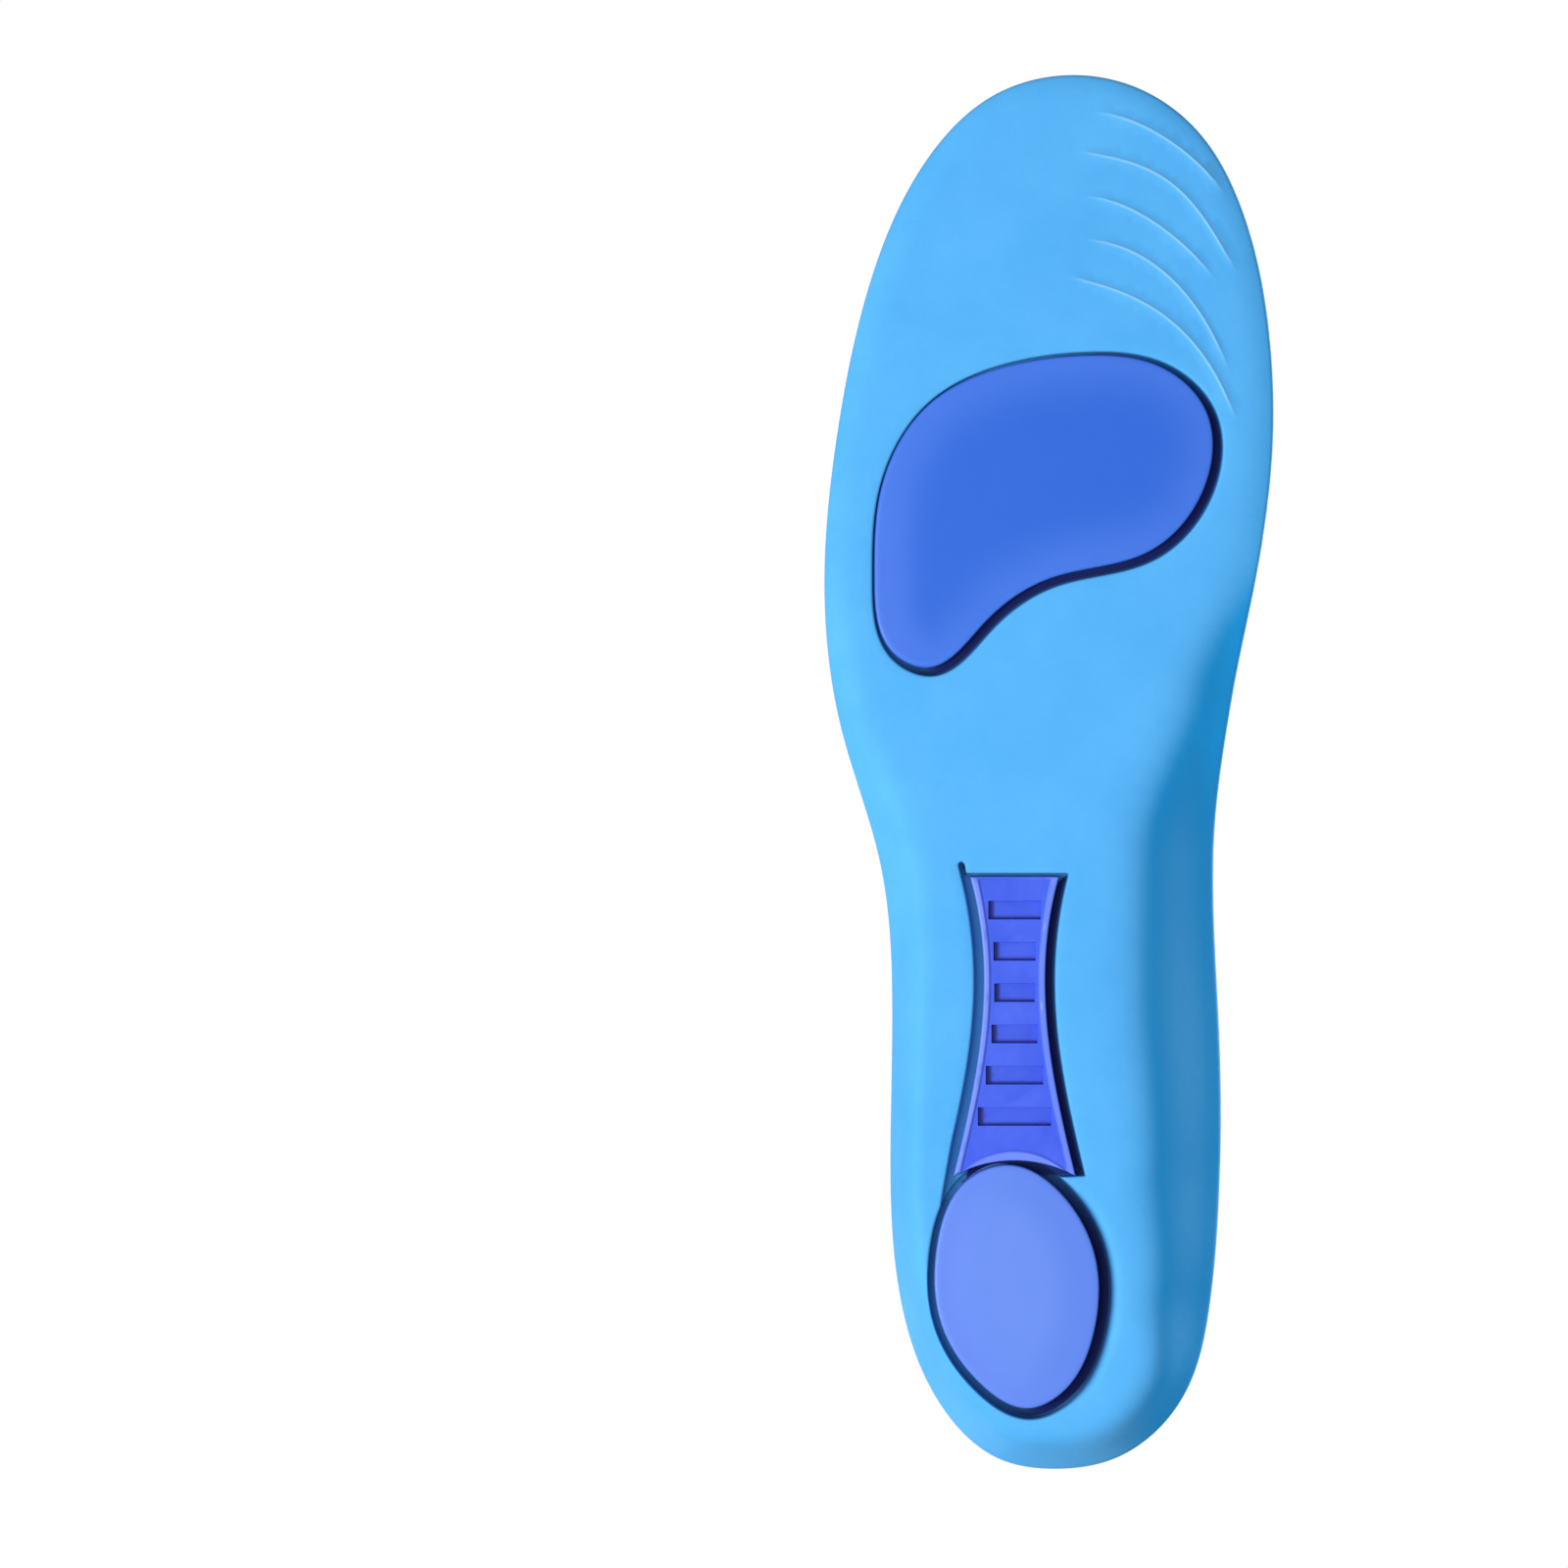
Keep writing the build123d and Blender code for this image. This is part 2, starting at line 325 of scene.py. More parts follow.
def rounded(distance, radius):
    """Height lost by a rounded edge at a distance in from it."""
    d = np.clip(distance, 0, radius)
    return radius - np.sqrt(np.maximum(radius**2 - (radius - d) ** 2, 0))


# ---- mesh building --------------------------------------------------------
def grid_points(loop, step_x, step_y, staggered=True):
    low, high = loop.min(0), loop.max(0)
    rows = []
    for k, y in enumerate(np.arange(low[1], high[1], step_y)):
        shift = step_x / 2 if staggered and k % 2 else 0
        xs = np.arange(low[0] + shift, high[0], step_x)
        rows.append(np.c_[xs, np.full(len(xs), y)])
    return np.vstack(rows)


def triangulate(loops, lines, step_x, step_y, clear, staggered=True):
    """Points and triangles inside loops[0], through every loop and line, with a grid between them.

    Also gives where loops[0]'s own points are among the points.
    """
    fixed = np.vstack(loops + lines)
    tree = kdtree.KDTree(len(fixed))
    for i, (x, y) in enumerate(fixed):
        tree.insert((x, y, 0), i)
    tree.balance()
    grid = grid_points(loops[0], step_x, step_y, staggered)
    grid = grid[signed_distance(grid, loops[0]) < -clear]
    grid = np.array([p for p in grid if tree.find((p[0], p[1], 0))[2] > clear])
    edges, start = [], 0
    for loop in loops:
        n = len(loop)
        edges += [(start + i, start + (i + 1) % n) for i in range(n)]
        start += n
    for line in lines:
        edges += [(start + i, start + i + 1) for i in range(len(line) - 1)]
        start += len(line)
    points = [Vector(p) for p in np.vstack([fixed, grid])]
    verts, _, faces, origins, *_ = delaunay_2d_cdt(points, edges, [], 0, 1e-5, True)
    place = {first: i for i, sources in enumerate(origins) for first in sources}
    rim = [place[i] for i in range(len(loops[0]))]
    flat = np.array([(v.x, v.y) for v in verts])
    faces = np.array(faces)
    inside = signed_distance(flat[faces].mean(1), loops[0]) < 0
    return flat, [tuple(f) for f in faces[inside].tolist()], rim


def new_object(name, points, faces, material, attributes=None):
    """A smooth-shaded mesh object from points in millimetres."""
    mesh = bpy.data.meshes.new(name)
    mesh.from_pydata((np.asarray(points) * MM).tolist(), [], faces)
    for key, values in (attributes or {}).items():
        mesh.attributes.new(key, "FLOAT", "POINT").data.foreach_set("value", np.asarray(values, np.float32))
    mesh.polygons.foreach_set("use_smooth", [True] * len(mesh.polygons))
    mesh.materials.append(material)
    mesh.update()
    obj = bpy.data.objects.new(name, mesh)
    bpy.context.scene.collection.objects.link(obj)
    return obj


def tidy(obj, sharp_degrees):
    """Makes all faces point outwards and marks the sharp edges."""
    work = bmesh.new()
    work.from_mesh(obj.data)
    loose = [v for v in work.verts if not v.link_faces]
    bmesh.ops.delete(work, geom=loose, context="VERTS")
    bmesh.ops.recalc_face_normals(work, faces=work.faces)
    limit = math.radians(sharp_degrees)
    for edge in work.edges:
        edge.smooth = not (edge.is_manifold and edge.calc_face_angle(0) > limit)
    work.to_mesh(obj.data)
    work.free()


def slab(name, loop, low, high, material, loops=(), lines=(), step=(1.6, 1.4), clear=0.7, top=None, sharp=38,
         tint=None):
    """A closed piece inside loop, from height low(points) up to high(points).

    loops and lines shape the lower face; top gives (loops, step_x, step_y, clear) of the upper one.
    """
    low_xy, low_faces, low_rim = triangulate([loop, *loops], list(lines), *step, clear)
    top_loops, top_x, top_y, top_clear = top or ((), 5.0, 4.5, 2.0)
    high_xy, high_faces, high_rim = triangulate([loop, *top_loops], [], top_x, top_y, top_clear, top is None)
    above = len(low_xy)
    points = np.vstack([np.c_[low_xy, low(low_xy)], np.c_[high_xy, high(high_xy)]])
    faces = low_faces + [tuple(i + above for i in f) for f in high_faces]
    for a, b, c, d in zip(low_rim, np.roll(low_rim, -1), np.roll(high_rim, -1), high_rim):
        faces.append((a, b, c + above, d + above))
    attributes = {"tint": tint(points)} if tint else None
    obj = new_object(name, points, faces, material, attributes)
    tidy(obj, sharp)
    return obj


# ---- materials -------------------------------------------------------------
def srgb(red, green, blue):
    """A colour given as 0-255 display values."""
    def linear(v):
        v /= 255
        return v / 12.92 if v <= 0.04045 else ((v + 0.055) / 1.055) ** 2.4
    return (linear(red), linear(green), linear(blue), 1.0)


def grey(value):
    return (value, value, value, 1)


class Nodes:
    """A material's node tree, with short ways to add and link nodes."""

    def __init__(self, name, **sockets):
        self.material = bpy.data.materials.new(name)
        self.material.use_nodes = True
        self.tree = self.material.node_tree
        self.shader = self.tree.nodes["Principled BSDF"]
        for key, value in sockets.items():
            self.shader.inputs[key.replace("_", " ")].default_value = value
        self.place = self.add("ShaderNodeTexCoord").outputs["Object"]

    def add(self, kind, **settings):
        node = self.tree.nodes.new(kind)
        for key, value in settings.items():
            setattr(node, key, value)
        return node

    def join(self, source, target):
        self.tree.links.new(source, target)

    def feed(self, value, target):
        """Links target to a socket, or sets it to a plain value."""
        if isinstance(value, bpy.types.NodeSocket):
            self.join(value, target)
        else:
            target.default_value = value

    def noise(self, scale, detail=3.0, rough=0.55, distortion=0.0):
        node = self.add("ShaderNodeTexNoise")
        node.inputs["Scale"].default_value = scale
        node.inputs["Detail"].default_value = detail
        node.inputs["Roughness"].default_value = rough
        node.inputs["Distortion"].default_value = distortion
        self.join(self.place, node.inputs["Vector"])
        return node.outputs["Fac"]

    def voronoi(self, scale):
        node = self.add("ShaderNodeTexVoronoi")
        node.inputs["Scale"].default_value = scale
        self.join(self.place, node.inputs["Vector"])
        return node.outputs["Distance"]

    def ramp(self, source, stops):
        node = self.add("ShaderNodeValToRGB")
        ramp = node.color_ramp
        while len(ramp.elements) < len(stops):
            ramp.elements.new(0.5)
        for element, (at, colour) in zip(ramp.elements, stops):
            element.position = at
            element.color = colour
        self.join(source, node.inputs["Fac"])
        return node.outputs["Color"]

    def mix(self, factor, first, second):
        node = self.add("ShaderNodeMix", data_type="RGBA")
        for value, place in ((factor, 0), (first, 6), (second, 7)):
            self.feed(value, node.inputs[place])
        return node.outputs[2]

    def math(self, operation, first, second, clamp=False):
        node = self.add("ShaderNodeMath", operation=operation, use_clamp=clamp)
        self.feed(first, node.inputs[0])
        self.feed(second, node.inputs[1])
        return node.outputs[0]

    def attribute(self, name):
        return self.add("ShaderNodeAttribute", attribute_name=name).outputs["Fac"]

    def tint(self, times):
        """The tint attribute times a number, held between 0 and 1."""
        return self.math("MULTIPLY", self.attribute("tint"), times, clamp=True)

    def colour(self, source):
        self.join(source, self.shader.inputs["Base Color"])

    def roughness(self, source, low, high):
        node = self.add("ShaderNodeMapRange")
        node.inputs["To Min"].default_value = low
        node.inputs["To Max"].default_value = high
        self.join(source, node.inputs["Value"])
        self.join(node.outputs[0], self.shader.inputs["Roughness"])

    def fraction(self, source, start, end):
        """0 where source is start, 1 where it is end."""
        node = self.add("ShaderNodeMapRange", interpolation_type="SMOOTHSTEP")
        node.inputs["From Min"].default_value = start
        node.inputs["From Max"].default_value = end
        self.join(source, node.inputs["Value"])
        return node.outputs[0]

    def bump(self, *layers):
        """Stacks (height, strength, distance in millimetres) layers."""
        normal = None
        for height, strength, distance in layers:
            node = self.add("ShaderNodeBump")
            node.inputs["Strength"].default_value = strength
            node.inputs["Distance"].default_value = distance * MM
            self.join(height, node.inputs["Height"])
            if normal:
                self.join(normal, node.inputs["Normal"])
            normal = node.outputs["Normal"]
        self.join(normal, self.shader.inputs["Normal"])


def foam_material():
    """Light blue moulded polyurethane foam: matt skin, faint mottling, fine open pores.

    tint is -1 in the grooves round the inlays, painted shade, and 1 on the raised toe lines, a painted
    highlight on their crests. The dark grooves and the deeper blue of the inner wall are painted shade.
    """
    m = Nodes("polyurethane_foam", Roughness=0.62, Specular_IOR_Level=0.14, Subsurface_Weight=0.06)
    m.shader.inputs["Subsurface Radius"].default_value = (0.2, 0.6, 1.0)
    m.shader.inputs["Subsurface Scale"].default_value = 1.2 * MM
    mottle = m.noise(55, 4, 0.6)
    body = m.ramp(mottle, [(0.3, srgb(77, 165, 226)), (0.7, srgb(86, 173, 231))])
    split = m.add("ShaderNodeSeparateXYZ")
    m.join(m.place, split.inputs[0])
    # painted shade: the lower part of the inner wall is mixed to a deeper blue
    inner_wall_shade = m.math("MULTIPLY", m.fraction(split.outputs["X"], -12 * MM, -22 * MM),
                        m.fraction(split.outputs["Z"], 0, 4 * MM))
    body = m.mix(inner_wall_shade, body, srgb(24, 160, 232))
    grain = m.noise(900, 2, 0.5)
    body = m.mix(m.math("MULTIPLY", grain, 0.16), body, srgb(58, 146, 214))
    pores = m.voronoi(1500)
    # painted shade: darker specks down in the pores
    pits = m.ramp(pores, [(0.0, grey(0.35)), (0.18, grey(0))])
    body = m.mix(pits, body, srgb(48, 132, 200))
    # painted shade: the grooves round the inlays turn dark navy where tint is negative
    body = m.mix(m.tint(-1.0), body, srgb(4, 22, 84))
    # painted highlight: the crests of the toe lines turn pale where tint is positive
    m.colour(m.mix(m.tint(0.5), body, srgb(176, 222, 250)))
    m.roughness(grain, 0.55, 0.72)
    m.bump((m.noise(2600, 2, 0.5), 0.25, 0.05), (pores, 0.12, 0.05), (m.noise(160, 3, 0.5), 0.25, 0.12))
    return m.material


def gel_material(name, centre, rim, fleck):
    """Tinted gel: smooth and satin, a little deeper in colour towards its middle."""
    m = Nodes(name, Roughness=0.42, Specular_IOR_Level=0.28, Subsurface_Weight=0.15)
    m.shader.inputs["Subsurface Radius"].default_value = (0.3, 0.5, 1.0)
    m.shader.inputs["Subsurface Scale"].default_value = 1.5 * MM
    body = m.mix(m.attribute("tint"), rim, centre)
    cloud = m.noise(70, 4, 0.6)
    body = m.mix(m.math("MULTIPLY", cloud, 0.28), body, fleck)
    m.colour(body)
    m.roughness(m.noise(260, 3, 0.6), 0.32, 0.46)
    m.bump((m.noise(1400, 2, 0.5), 0.10, 0.03), (m.noise(120, 2, 0.5), 0.2, 0.1))
    return m.material


def shank_material():
    """Violet-blue moulded plastic with faint flow marks; tint -1 is painted shade in the slots, tint 1 a
    painted highlight on the rails and lip.
    """
    m = Nodes("moulded_tpu", Roughness=0.4, Specular_IOR_Level=0.3)
    flow = m.noise(90, 5, 0.65, 0.8)
    body = m.ramp(flow, [(0.3, srgb(50, 80, 212)), (0.7, srgb(66, 96, 222))])
    # painted shade: the slots turn deep blue where tint is negative
    body = m.mix(m.tint(-1.0), body, srgb(16, 30, 140))
    # painted highlight: the rails and lip turn paler where tint is positive
    m.colour(m.mix(m.tint(0.6), body, srgb(120, 146, 244)))
    m.roughness(flow, 0.28, 0.44)
    m.bump((m.noise(2200, 2, 0.5), 0.12, 0.02), (m.noise(300, 3, 0.5), 0.15, 0.05))
    return m.material


def film_material():
    m = Nodes("hot_melt_film", Roughness=0.45)
    m.colour(m.ramp(m.noise(400, 3), [(0.3, srgb(120, 180, 220)), (0.7, srgb(160, 205, 235))]))
    m.bump((m.noise(800, 2), 0.2, 0.03))
    return m.material


def adhesive_material():
    m = Nodes("bonding_layer", Roughness=0.5)
    m.colour(m.ramp(m.noise(300, 3), [(0.3, srgb(40, 84, 150)), (0.7, srgb(58, 108, 178))]))
    m.bump((m.noise(700, 2), 0.2, 0.03))
    return m.material


def knit_material():
    """Dark blue knitted ground; tint 1 is the smooth pale ribs at the inner rim."""
    m = Nodes("knit_ground", Roughness=0.85, Specular_IOR_Level=0.12, Sheen_Weight=0.06)
    m.shader.inputs["Sheen Roughness"].default_value = 0.5
    cells = m.voronoi(1150)
    dark = m.ramp(cells, [(0.1, srgb(10, 78, 146)), (0.7, srgb(2, 40, 98))])
    dark = m.mix(m.math("MULTIPLY", m.noise(45, 3), 0.5), dark, srgb(2, 50, 116))
    pale = m.ramp(m.noise(240, 4, 0.6), [(0.3, srgb(122, 202, 230)), (0.7, srgb(190, 236, 246))])
    m.colour(m.mix(m.attribute("tint"), dark, pale))
    m.bump((cells, 0.6, 0.25), (m.noise(2400, 3, 0.6), 0.4, 0.08))
    return m.material


def loop_material():
    """Pale looped yarn; tint runs from 0, painted shade at the loops' feet and on the shaded side, to 1,
    painted highlights at the bright tips.
    """
    m = Nodes("loop_yarn", Roughness=0.8, Specular_IOR_Level=0.15, Sheen_Weight=0.06)
    m.shader.inputs["Sheen Roughness"].default_value = 0.4
    body = m.ramp(m.attribute("tint"), [
        (0.0, srgb(3, 44, 100)), (0.33, srgb(14, 88, 148)), (0.65, srgb(80, 180, 218)),
        (1.0, srgb(214, 248, 252)),
    ])
    strands = m.noise(2600, 3, 0.7)
    # painted shade in the creases between the yarn's strands
    creases = m.ramp(strands, [(0.42, grey(0.8)), (0.6, grey(0))])
    m.colour(m.mix(creases, body, srgb(10, 70, 132)))
    m.bump((strands, 0.7, 0.12), (m.noise(6000, 2, 0.5), 0.4, 0.05))
    return m.material


FOAM = foam_material()
FILM_MATERIAL = film_material()
ADHESIVE_MATERIAL = adhesive_material()
FOREFOOT_GEL = gel_material("forefoot_gel", srgb(40, 98, 204), srgb(64, 114, 214), srgb(34, 88, 200))
HEEL_GEL = gel_material("heel_gel", srgb(98, 134, 222), srgb(90, 126, 220), srgb(84, 120, 216))
TPU = shank_material()
KNIT = knit_material()
YARN = loop_material()


# ---- inlays ----------------------------------------------------------------
FOREFOOT_LOOP = closed_curve(FOREFOOT_PAD_OUTLINE, 260)
HEEL_LOOP = closed_curve(HEEL_PAD_OUTLINE, 180)
SHANK_LOOP = shank_loop()
PAD_ROUND = 0.5
CROWN, CROWN_WIDTH = 0.3, 9.0  # the pads' lower faces swell by this much over this width
TINT_WIDTH = 12.0


def flat(height):
    return lambda points: np.full(len(points), float(height))


def stand_in(piece, node):
    """The piece takes a CAD node's place on the insole's one body."""
    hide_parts(node)
    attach(piece, "root")
    return piece


def gel_pad(name, node, loop, thickness, material):
    """A gel pad with a rounded, slightly crowned lower face."""
    def low(points):
        depth = -signed_distance(points, loop)
        return rounded(depth, PAD_ROUND) + CROWN * (1 - smooth(depth / CROWN_WIDTH))

    def tint(points):
        return smooth(-signed_distance(points[:, :2], loop) / TINT_WIDTH)

    rings = [grown(loop, -inset) for inset in (0.04, 0.14, 0.3, 0.5, 1.3)]
    pad = slab(name, loop, low, flat(thickness), material, rings, clear=0.8, tint=tint)
    stand_in(pad, node)


gel_pad("forefoot_gel_body", "forefoot_gel_pad", FOREFOOT_LOOP, FOREFOOT_PAD, FOREFOOT_GEL)
gel_pad("heel_gel_body", "heel_gel_pad", HEEL_LOOP, HEEL_PAD, HEEL_GEL)


def slot_loops():
    """The shank's six blind slots, narrowing and widening with its waist."""
    heights = [y for _, y in SHANK_SIDE]
    curve = np.polyfit(heights, [x for x, _ in SHANK_SIDE], len(heights) - 1)
    loops = []
    for i in range(SLOT_COUNT):
        y = SLOT_TOP - i * SLOT_PITCH
        half = np.polyval(curve, y) - SLOT_WALL
        loops.append(box_loop(SHANK_X - half, SHANK_X + half, y - SLOT_HEIGHT / 2, y + SLOT_HEIGHT / 2))
    return loops


def sunk(distance, depth, radius, wall=0.12):
    """Depth at a signed distance outside a recess: a rounded lip, a steep wall, then the floor."""
    lip = rounded(distance, radius)
    fall = np.clip(-distance / wall, 0, 1)
    return np.where(distance >= 0, lip, radius + (depth - radius) * fall)


def shank_piece():
    """The ladder shank: rails and lip stand proud of a sunk web, and six slots are cut into it."""
    web = shank_loop(RAIL, LIP, RAIL)
    slots = slot_loops()

    def low(points):
        height = rounded(-signed_distance(points, SHANK_LOOP), 0.35)
        height = np.maximum(height, sunk(signed_distance(points, web), WEB_DEPTH, 0.15, 0.3))
        for loop in slots:
            height = np.maximum(height, sunk(signed_distance(points, loop), SLOT_DEPTH, 0.12))
        return height

    def tint(points):
        # painted highlight on the rails and lip; painted shade in the slots, darkest along their walls at
        # high x and low y
        rail = smooth(signed_distance(points[:, :2], web) / 0.5 + 0.6)
        shade = np.zeros(len(points))
        for loop in slots:
            depth = -signed_distance(points[:, :2], loop)
            from_side = loop[:, 0].max() - points[:, 0]
            from_foot = points[:, 1] - loop[:, 1].min()
            corner = 1 - smooth(np.minimum((from_side - 0.75) / 0.5, (from_foot - 0.4) / 0.4))
            shade = np.maximum(shade, (depth > 0.05) * (0.12 + 0.88 * corner))
        return np.where(points[:, 2] < SHANK - 0.1, rail * (points[:, 2] < 0.6) - shade, 0)

    rings = [grown(SHANK_LOOP, -inset) for inset in (0.05, 0.18, 0.35)]
    rings += [grown(web, offset) for offset in (0.15, 0.0, -0.3)]
    for loop in slots:
        rings += [grown(loop, offset) for offset in (0.12, 0.0, -0.12, -0.35, -0.65, -1.0)]
    inside = [ring[signed_distance(ring, SHANK_LOOP) < -0.04] for ring in rings]
    shank = slab("arch_shank_moulding", SHANK_LOOP, low, flat(SHANK), TPU, inside, step=(0.9, 0.8), clear=0.3,
                 tint=tint)
    stand_in(shank, "arch_shank")


shank_piece()

# ---- foam footbed ------------------------------------------------------------
FOREFOOT_POCKET = grown(FOREFOOT_LOOP, FOREFOOT_GAP, FOREFOOT_SHIFT)
HEEL_POCKET = grown(HEEL_LOOP, HEEL_GAP, HEEL_SHIFT)
RUN_ON = [(18.9, -71.4), (19.6, -75.3), (20.3, -79.3), (21.0, -83.6)]
OVERSHOOT = [(16.0, -18.9), (16.3, -17.2), (16.9, -16.7), (17.6, -17.1)]
HIDDEN_SIDE = [(20.2, -87.0), (16.0, -87.0), (12.0, -78.0)]  # closes the outline inside the heel pad's pocket
# SHADED_SIDE sets the side on which the grooves' painted shade is darkest
SHADED_SIDE = (0.85, 0.5)  # direction the grooves' dark colour leans in
PROBE = 0.05  # distance over which a groove's direction is felt


def shank_pocket():
    """The shank's pocket: its outer groove runs on round the heel pad and overshoots the toe end."""
    loop = shank_loop(-SHANK_GAP, -2 * LIP, TOE_GROOVE)
    x, y = loop.T
    toe_end = y.max()
    side = loop[(x > SHANK_X) & (y > RUN_ON[0][1] + 0.4) & (y < toe_end - 0.6)]
    inner = loop[(x < SHANK_X + 2) | (y > toe_end - 0.1) & (x < OVERSHOOT[0][0] - 0.3)]
    line = np.vstack([side, open_curve(RUN_ON, 24), HIDDEN_SIDE, inner, OVERSHOOT])
    return even_points(np.vstack([line, line[:1]]), 300)


SHANK_POCKET = shank_pocket()
LINES = [open_curve(points, 56) for points in TOE_LINES]
RIM_ROUND = 0.8
FIRM_LIP, SOFT_LIP = 0.5, 1.7  # lip radius of the pockets, and how much softer it is on the heel's inner side
# Pockets: outline, depth, where rings of points run at its lip and foot.
POCKETS = [
    (FOREFOOT_POCKET, FOREFOOT_PAD + ADHESIVE, (0.5, 0.28, 0.1, 0.0, -0.12, -0.5, -1.1)),
    (SHANK_POCKET, SHANK + ADHESIVE, (0.5, 0.28, 0.1, 0.0, -0.12, -0.6, -1.2)),
    (HEEL_POCKET, HEEL_PAD + ADHESIVE, (2.2, 1.4, 0.8, 0.45, 0.2, 0.0, -0.12, -0.6, -1.4)),
]


def heel_softness(points):
    """1 on the inner side of the heel pad, where the pocket's lip is soft."""
    return smooth((HEEL_LOOP[:, 0].mean() - 7 - points[:, 0]) / 8)


def foam_low(points):
    """The foam's underside with rounded rim, raised toe lines and the pockets."""
    height = underside(points) + rounded(-signed_distance(points, EDGE), RIM_ROUND)
    for line in LINES:
        near = line_distance(points, line)
        fade = smooth(end_distance(points, line) / 6)
        height -= LINE_HEIGHT * (1 - smooth(near / LINE_HALF_WIDTH)) * fade
    result = height
    for loop, depth, _ in POCKETS:
        lip = FIRM_LIP + SOFT_LIP * heel_softness(points) * (loop is HEEL_POCKET)
        away = signed_distance(points, loop)
        pocket = np.where(away < -0.1, depth, height + sunk(away, depth, lip))
        result = np.maximum(result, pocket)
    return result


def foam_tint(points):
    """Painted shade, -1 at the bottom of the grooves and darkest on their shaded side, and a painted
    highlight, 1 on the crests of the toe lines.
    """
    flat_points = points[:, :2]
    low_face = points[:, 2] < foam_top(flat_points) - 0.5
    # painted shade at the bottom of the pocket grooves, heavier on one side
    groove = np.zeros(len(points))
    for pocket, *_ in POCKETS:
        near = signed_distance(flat_points, pocket)
        away_x = signed_distance(flat_points + [PROBE, 0], pocket) - near
        away_y = signed_distance(flat_points + [0, PROBE], pocket) - near
        facing = away_x * SHADED_SIDE[0] + away_y * SHADED_SIDE[1]
        dark = 0.35 + 0.65 * smooth(0.55 - 12 * facing)
        fade = 0.4 + 1.5 * heel_softness(flat_points) * (pocket is HEEL_POCKET)
        groove = np.maximum(groove, dark * smooth(0.35 + 0.15 * fade - near / fade))
    line = np.zeros(len(points))
    for path in LINES:
        # painted highlight along the crests of the toe lines
        crest_highlight = 1 - smooth(line_distance(flat_points, path) / 0.4)
        line = np.maximum(line, crest_highlight * smooth(end_distance(flat_points, path) / 8))
    return np.where(low_face, line - groove, 0)


def foam_piece():
    loops = [grown(EDGE, -inset) for inset in (0.06, 0.2, 0.45, 0.8)]
    for pocket, _, offsets in POCKETS:
        loops += [grown(pocket, offset) for offset in offsets]
    lines = []
    for line in LINES:
        along = np.gradient(line, axis=0)
        side = np.c_[along[:, 1], -along[:, 0]] / np.linalg.norm(along, axis=1)[:, None]
        lines += [line + side * offset for offset in (-0.6, -0.3, 0.0, 0.3, 0.6)]
    foam = slab("foam_footbed_body", EDGE, foam_low, foam_top, FOAM, loops, lines, clear=0.75, sharp=50,
                top=((), 3.0, 3.0, 1.0), tint=foam_tint)
    stand_in(foam, "foam_footbed")


foam_piece()

# ---- cover -------------------------------------------------------------------
ROW_PITCH = 4.0
GROUND = 0.9  # thickness of the knitted ground
TUFT_SWELL = 0.55
RIB_HEIGHT = 1.0
TUFT_PITCH = 3.1


def inner_depth(points):
    """Distance in from the inner rim; large near the outer one."""
    depth, _, inner = rim_at(points)
    return np.where(inner, depth, 99.0)


def rib_width(y):
    """How far in the smooth ribs reach from the inner rim."""
    ends = smooth((124 - y) / 8) * smooth((y + 108) / 10)
    wider = 8.6 * smooth((y + 20) / 45) * smooth((126 - y) / 40)
    return (3.4 + wider) * ends + 1.3 * np.sin(y * 1.9) * ends - 1


def row_bend(points):
    """How far a row strays in y: a small wander, and a pull towards the toe at the inner rim."""
    x, y = points.T
    wander = 0.35 * np.sin(x / 9) + 0.3 * np.sin(x / 3.1 + y / 5) + 0.3 * np.sin(y / 7 + x / 14)
    pull = 3.0 * smooth(1 - inner_depth(points) / 11) ** 2
    return pull * smooth((122 - y) / 18) * smooth((y + 118) / 18) - wander


def row_phase(points):
    """0 in the middle of a row and 0.5 between rows; the rows bend slightly towards the toe at the rim."""
    return (points[:, 1] - row_bend(points)) / ROW_PITCH


def rib_share(points):
    width = rib_width(points[:, 1])
    return smooth((width + 1.2 - inner_depth(points)) / 2.4)


def cover_base(points):
    return foam_top(points) + FILM


def cover_edge():
    """The cover's cut edge: flush with the rim, but short of it at the inner waist, where foam shows."""
    back = 0.25 + 0.9 * IS_INNER * smooth((EDGE[:, 1] + 60) / 40) * smooth((95 - EDGE[:, 1]) / 30)
    return EDGE - normals(EDGE) * back[:, None]


COVER_EDGE = cover_edge()


def tuft_places():
    """Centres of the yarn tufts, in rows across the insole."""
    places = []
    low, high = COVER_EDGE.min(0), COVER_EDGE.max(0)
    for row in range(math.floor(low[1] / ROW_PITCH), math.ceil(high[1] / ROW_PITCH) + 1):
        xs = np.arange(low[0] - 2, high[0] + 2, TUFT_PITCH) + rng.uniform(0, TUFT_PITCH)
        points = np.c_[xs, np.full(len(xs), row * ROW_PITCH)]
        points[:, 1] += row_bend(points)
        points += rng.normal(0, 0.16, points.shape)
        places.append(points)
    points = np.vstack(places)
    points = points[signed_distance(points, COVER_EDGE) < -0.55]
    return points[inner_depth(points) > rib_width(points[:, 1]) - 0.3]


PLACES = tuft_places()
PLACE_TREE = kdtree.KDTree(len(PLACES))
for number, place in enumerate(PLACES):
    PLACE_TREE.insert((*place, 0), number)
PLACE_TREE.balance()


def tuft_share(points):
    """1 at the middle of a tuft, 0 between tufts."""
    nearest = PLACES[[PLACE_TREE.find((p[0], p[1], 0))[1] for p in points]]
    away = np.linalg.norm((points - nearest) / (2.2, 1.45), axis=1)
    return smooth(1.3 - away)


